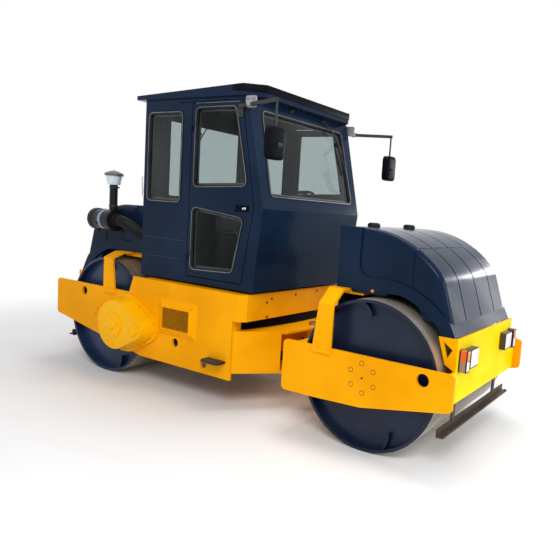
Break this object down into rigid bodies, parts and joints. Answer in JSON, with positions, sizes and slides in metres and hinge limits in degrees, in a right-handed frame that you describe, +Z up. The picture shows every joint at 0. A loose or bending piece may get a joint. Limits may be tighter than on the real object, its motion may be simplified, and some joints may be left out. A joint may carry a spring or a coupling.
{
  "type": "articulated tandem road roller",
  "caption": "Articulated tandem drum roller with closed cab, swinging doors, oscillating front frame, steering cylinders and free-turning drums.",
  "frame": {"origin": "on the ground at the middle of the overall box, midway between the drum axles", "axes": "+X forward towards the front drum and headlights, +Y to the operator's left, +Z up"},
  "size_m": [4.67, 2.114, 2.8799],
  "materials": {
    "navy_paint": "gloss",
    "orange_paint": "gloss",
    "yellow_paint": "gloss",
    "drum_steel": "worn",
    "black_metal": "satin",
    "cast_iron": "rough",
    "bare_steel": "satin",
    "chrome": "polished",
    "black_plastic": "matte",
    "clear_plastic": "gloss",
    "lamp_plastic": "gloss",
    "glass": "clear",
    "seat_cover": "woven"
  },
  "bodies": {
    "rear_unit": {"rear_drum_carriers": "cast_iron", "engine_block": "cast_iron", "rear_right_side_plate": "orange_paint", "rear_left_side_plate": "orange_paint", "rear_frame_box": "orange_paint", "deck_apron": "orange_paint", "hinge_nose": "orange_paint", "rear_yoke": "orange_paint", "gear_case": "orange_paint", "side_grilles": "orange_paint", "rear_panel": "orange_paint", "steering_pin": "bare_steel", "side_steps": "black_metal", "rear_scraper": "black_metal", "mirrors": "black_metal", "air_cleaner": "black_metal", "hinge_cover": "black_metal", "rear_hood": "navy_paint", "cab_right_side": "navy_paint", "cab_left_side": "navy_paint", "cab_rear_wall": "navy_paint", "cab_front": "navy_paint", "cab_roof": "navy_paint", "cab_floor": "navy_paint", "steering_console": "black_plastic", "pre_cleaner": "clear_plastic", "cab_fixed_glass": "glass", "operator_seat": "seat_cover"},
    "front_unit": {"front_right_side_plate": "orange_paint", "front_left_side_plate": "orange_paint", "front_crossmember": "orange_paint", "front_panel": "yellow_paint", "front_yoke": "orange_paint", "front_hood": "navy_paint", "filler_caps": "black_plastic", "front_scraper": "black_metal", "front_lamps": "lamp_plastic", "front_drum_carriers": "cast_iron"},
    "front_drum": {"front_drum": "drum_steel"},
    "rear_drum": {"rear_drum": "drum_steel"},
    "centre_joint": {"centre_link": "orange_paint"},
    "right_cab_door": {"right_door": "navy_paint", "right_door_glass": "glass"},
    "left_cab_door": {"left_door": "navy_paint", "left_door_glass": "glass"},
    "right_barrel": {"right_steering_barrel": "black_metal"},
    "left_barrel": {"left_steering_barrel": "black_metal"},
    "right_rod": {"right_steering_rod": "chrome"},
    "left_rod": {"left_steering_rod": "chrome"}
  },
  "joints": [
    {"name": "steering", "type": "hinge", "parent": "rear_unit", "child": "centre_joint", "pos_m": [0.52, 0, 0.54], "axis": [0, 0, 1], "range_deg": [-30, 30]},
    {"name": "oscillation", "type": "hinge", "parent": "centre_joint", "child": "front_unit", "pos_m": [0.52, 0, 0.54], "axis": [1, 0, 0], "range_deg": [-8, 8]},
    {"name": "front_drum_spin", "type": "hinge", "parent": "front_unit", "child": "front_drum", "pos_m": [1.58, 0, 0.6], "axis": [0, 1, 0], "continuous": true},
    {"name": "rear_drum_spin", "type": "hinge", "parent": "rear_unit", "child": "rear_drum", "pos_m": [-1.58, 0, 0.6], "axis": [0, 1, 0], "continuous": true},
    {"name": "right_door_hinge", "type": "hinge", "parent": "rear_unit", "child": "right_cab_door", "pos_m": [-0.444, -0.802, 1.9], "axis": [0, 0, -1], "range_deg": [0, 85]},
    {"name": "left_door_hinge", "type": "hinge", "parent": "rear_unit", "child": "left_cab_door", "pos_m": [-0.444, 0.802, 1.9], "axis": [0, 0, 1], "range_deg": [0, 85]},
    {"name": "right_barrel_swing", "type": "hinge", "parent": "rear_unit", "child": "right_barrel", "pos_m": [-0.04, -0.33, 0.45], "axis": [0, 0, 1], "range_deg": [-6.34, 6.34]},
    {"name": "right_rod_slide", "type": "slide", "parent": "right_barrel", "child": "right_rod", "axis": [0.9992, 0.0405, 0], "range_m": [-0.1581, 0.1581]},
    {"name": "left_barrel_swing", "type": "hinge", "parent": "rear_unit", "child": "left_barrel", "pos_m": [-0.04, 0.33, 0.45], "axis": [0, 0, 1], "range_deg": [-6.34, 6.34]},
    {"name": "left_rod_slide", "type": "slide", "parent": "left_barrel", "child": "left_rod", "axis": [0.9992, -0.0405, 0], "range_m": [-0.1581, 0.1581]}
  ],
  "couplings": [
    {"joint": "right_barrel_swing", "follows": "steering", "ratio": 0.208},
    {"joint": "right_rod_slide", "follows": "steering", "m_per_rad": 0.3},
    {"joint": "left_barrel_swing", "follows": "steering", "ratio": 0.208},
    {"joint": "left_rod_slide", "follows": "steering", "m_per_rad": -0.3}
  ]
}
